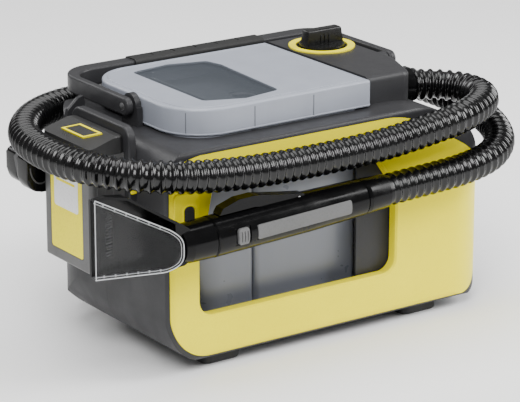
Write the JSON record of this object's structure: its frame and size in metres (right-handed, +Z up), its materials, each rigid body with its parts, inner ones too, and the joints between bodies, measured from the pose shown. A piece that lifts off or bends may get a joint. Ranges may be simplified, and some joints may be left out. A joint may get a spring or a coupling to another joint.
{
  "type": "spray extraction cleaner",
  "caption": "Portable cordless spray-extraction cleaner for carpet and upholstery, with tanks behind a window, a coiled suction hose and a wand with a clear nozzle.",
  "frame": {"origin": "middle of the overall footprint without the hose, at the plane the feet stand on", "axes": "+Z up, -Y out of the window side, -X towards the battery"},
  "size_m": [0.5532, 0.3298, 0.268],
  "materials": {
    "dark_housing": "fine texture",
    "yellow_panel": "satin",
    "dark_deck": "satin",
    "soft_grip": "matte",
    "black_knob": "gloss",
    "black_gloss": "gloss",
    "grey_inlay": "satin",
    "clear_cover": "clear",
    "spray_plastic": "satin",
    "hose_black": "gloss",
    "tank_clear": "translucent",
    "lid_frosted": "frosted",
    "lid_smoke": "clear smoke",
    "lid_inner": "satin",
    "seal_rubber": "matte",
    "float_orange": "satin",
    "battery_grey": "satin",
    "battery_black": "satin",
    "battery_yellow": "satin",
    "label_white": "satin",
    "contact_metal": "satin",
    "steel": "brushed",
    "inner_plastic": "matte",
    "board_green": "satin",
    "foot_rubber": "matte"
  },
  "bodies": {
    "housing": {"front_housing": "dark_housing", "rear_housing": "dark_housing", "front_panel": "yellow_panel", "top_deck": "dark_deck", "motor_head": "dark_deck", "knob_ring": "yellow_panel", "mode_switch": "inner_plastic", "handle_pins": "steel", "battery_bay": "dark_deck", "battery_contacts": "contact_metal", "wand_tube": "black_gloss", "wand_cuff": "black_gloss", "grip_inlay": "grey_inlay", "trigger_axle": "steel", "hose_tube": "hose_black", "hose_port": "black_gloss", "inner_guard": "dark_deck", "suction_motor": "steel", "fan_housing": "inner_plastic", "suction_duct": "inner_plastic", "pump_body": "inner_plastic", "pump_motor": "steel", "circuit_board": "board_green", "foot_1": "foot_rubber", "foot_2": "foot_rubber", "foot_3": "foot_rubber", "foot_4": "foot_rubber", "rear_vent": "dark_housing", "hose_hook": "dark_deck", "hose_clip": "dark_deck", "base_screws": "steel"},
    "knob": {"mode_knob": "black_knob"},
    "handle": {"carry_handle": "dark_deck", "grip_insert": "soft_grip"},
    "tanks": {"fresh_tank": "tank_clear", "dirty_tank": "tank_clear"},
    "lid": {"tank_lid": "lid_frosted", "lid_window": "lid_smoke", "lid_floor": "lid_inner", "lid_seal": "seal_rubber", "float_cage": "float_orange", "lid_baffle": "lid_inner", "inlet_duct": "lid_inner"},
    "float_valve": {"float": "float_orange"},
    "filler_cap": {"fresh_cap": "lid_inner"},
    "battery": {"battery_case": "battery_grey", "battery_label": "battery_yellow", "label_patch": "label_white", "battery_head": "battery_black", "release_frame": "battery_yellow"},
    "battery_button": {"release_button": "battery_black"},
    "trigger": {"spray_trigger": "black_gloss"},
    "nozzle": {"nozzle_body": "black_gloss", "nozzle_cover": "clear_cover", "spray_tip": "spray_plastic"},
    "lock": {"nozzle_lock": "grey_inlay"},
    "fan": {"suction_fan": "inner_plastic"},
    "pump": {"pump_rotor": "inner_plastic"}
  },
  "joints": [
    {"name": "handle_fold", "type": "hinge", "parent": "housing", "child": "handle", "pos_m": [0.03475, 0.0129, 0.24], "axis": [-1, 0, 0], "range_deg": [-90, 0]},
    {"name": "tank_lift", "type": "slide", "parent": "housing", "child": "tanks", "axis": [0, 0, 1], "range_m": [0, 0.24]},
    {"name": "lid_lift", "type": "slide", "parent": "tanks", "child": "lid", "axis": [0, 0, 1], "range_m": [0, 0.08]},
    {"name": "float_rise", "type": "slide", "parent": "lid", "child": "float_valve", "axis": [0, 0, 1], "range_m": [0, 0.03]},
    {"name": "cap_turn", "type": "hinge", "parent": "lid", "child": "filler_cap", "pos_m": [-0.08525, 0.0409, 0.23], "axis": [0, 0, 1], "range_deg": [0, 90]},
    {"name": "knob_turn", "type": "hinge", "parent": "housing", "child": "knob", "pos_m": [0.14575, 0.0639, 0.249], "axis": [0, 0, 1], "range_deg": [-60, 60]},
    {"name": "battery_slide", "type": "slide", "parent": "housing", "child": "battery", "axis": [0, 0, 1], "range_m": [0, 0.15]},
    {"name": "battery_release", "type": "slide", "parent": "battery", "child": "battery_button", "axis": [0.2756, 0, -0.9613], "range_m": [0, 0.001], "stiffness_N_per_m": 800},
    {"name": "trigger_squeeze", "type": "hinge", "parent": "housing", "child": "trigger", "pos_m": [-0.01892, -0.1221, 0.16668], "axis": [0, -1, 0], "range_deg": [0, 2], "stiffness_Nm_per_rad": 2},
    {"name": "nozzle_pull", "type": "slide", "parent": "housing", "child": "nozzle", "axis": [-0.9992, 0, -0.0401], "range_m": [0, 0.04]},
    {"name": "lock_slide", "type": "slide", "parent": "housing", "child": "lock", "axis": [0.9992, 0, 0.0401], "range_m": [0, 0.002], "stiffness_N_per_m": 500},
    {"name": "fan_spin", "type": "hinge", "parent": "housing", "child": "fan", "pos_m": [0.16975, 0.0009, 0.142], "axis": [0, 0, 1], "continuous": true},
    {"name": "pump_spin", "type": "hinge", "parent": "housing", "child": "pump", "pos_m": [0.16175, 0.0649, 0.046], "axis": [1, 0, 0], "continuous": true}
  ]
}
